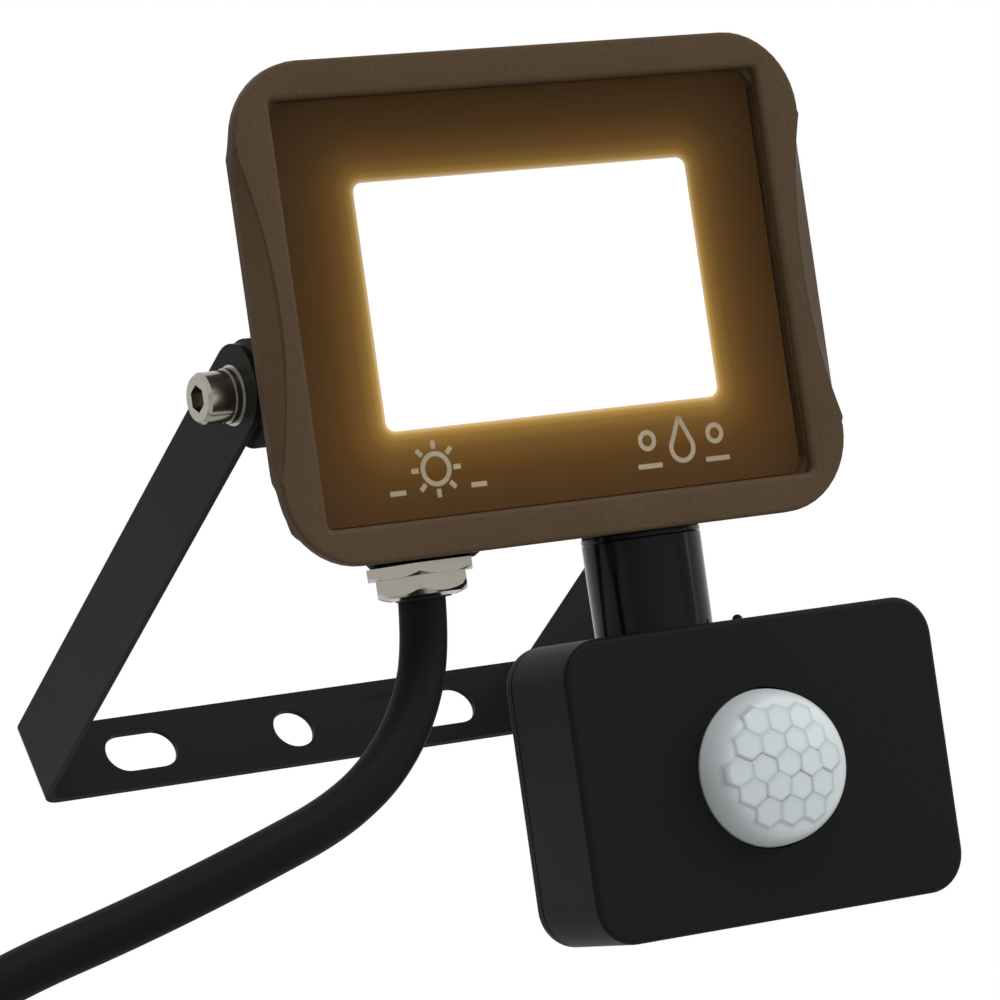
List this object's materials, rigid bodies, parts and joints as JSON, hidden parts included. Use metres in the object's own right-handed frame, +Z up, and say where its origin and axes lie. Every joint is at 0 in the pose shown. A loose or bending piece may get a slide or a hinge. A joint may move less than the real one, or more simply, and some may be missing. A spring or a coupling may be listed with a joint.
{
  "type": "motion sensor security light",
  "caption": "Wall-mounted flood light with a die-cast head on a U bracket, a lit glass window, a cable gland with supply cord, and a movement sensor box on a turning neck below.",
  "frame": {"origin": "centre of the bracket bar's middle hole, on the face that lies on the wall", "axes": "+X to the right seen from the front, +Y into the wall, +Z up; the light faces -Y"},
  "size_m": [0.2499, 0.1489, 0.2834],
  "materials": {
    "bracket_black": "satin black paint on flat steel bar",
    "frame_brown": "brown powder coat with a fine leather-like texture on cast aluminium",
    "glass": "toughened glass, printed brown border round a clear window",
    "seal_rubber": "soft black silicone rubber",
    "housing_black": "satin black powder coat on cast aluminium",
    "reflector_white": "matt white moulded plastic",
    "board_aluminium": "white solder mask on an aluminium board",
    "led_yellow": "yellow phosphor in clear silicone",
    "component_black": "matt black moulded plastic",
    "nickel": "bright nickel plate, slightly warm",
    "cord_rubber": "matt black rubber sheath",
    "core_insulation": "brown, blue and green-yellow core insulation",
    "neck_gloss": "glossy black moulded plastic",
    "sensor_black": "smooth matt black moulded plastic",
    "lens_white": "milky translucent polyethylene",
    "board_green": "green solder mask on glass-fibre board",
    "knob_grey": "dark grey moulded plastic"
  },
  "bodies": {
    "bracket": {"mounting_bracket": "bracket_black"},
    "head": {"front_frame": "frame_brown", "front_glass": "glass", "glass_gasket": "seal_rubber", "rear_housing": "housing_black", "reflector": "reflector_white", "led_board": "board_aluminium", "thermal_pad": "seal_rubber", "led_chips": "led_yellow", "driver_components": "component_black", "board_screws": "nickel", "frame_screws": "nickel", "pivot_screw_left": "nickel", "pivot_screw_right": "nickel", "flat_washer_left": "nickel", "flat_washer_right": "nickel", "spring_washer_left": "nickel", "spring_washer_right": "nickel", "gland_body": "nickel", "gland_nut": "nickel", "gland_seal": "seal_rubber", "mains_cord": "cord_rubber", "cord_cores": "core_insulation", "sensor_neck": "neck_gloss", "neck_seal": "seal_rubber", "neck_clip": "nickel"},
    "sensor": {"sensor_front_cover": "sensor_black", "sensor_rear_cover": "sensor_black", "cover_seal": "seal_rubber", "cover_screws": "nickel", "fresnel_lens": "lens_white", "lens_retainer": "component_black", "sensor_board": "board_green", "sensor_board_screws": "nickel", "pir_element": "nickel", "light_sensor": "component_black", "relay": "component_black", "capacitors": "component_black", "trimmer_bodies": "component_black"},
    "sensitivity": {"sensitivity_knob": "knob_grey"},
    "time": {"time_knob": "knob_grey"},
    "lux": {"lux_knob": "knob_grey"}
  },
  "joints": [
    {"name": "head_tilt", "type": "hinge", "parent": "bracket", "child": "head", "pos_m": [0, -0.1115, 0], "axis": [1, 0, 0], "range_deg": [-120, 30]},
    {"name": "sensor_pan", "type": "hinge", "parent": "head", "child": "sensor", "pos_m": [0.0213, -0.08589, -0.03937], "axis": [0, 0.5, -0.866], "range_deg": [-45, 45]},
    {"name": "sensitivity_turn", "type": "hinge", "parent": "sensor", "child": "sensitivity", "pos_m": [0.01526, -0.06087, -0.08418], "axis": [0, 0.5, -0.866], "range_deg": [-135, 135]},
    {"name": "time_turn", "type": "hinge", "parent": "sensor", "child": "time", "pos_m": [0.02725, -0.06131, -0.08444], "axis": [0, 0.5, -0.866], "range_deg": [-135, 135]},
    {"name": "lux_turn", "type": "hinge", "parent": "sensor", "child": "lux", "pos_m": [0.03924, -0.06174, -0.08469], "axis": [0, 0.5, -0.866], "range_deg": [-135, 135]}
  ]
}
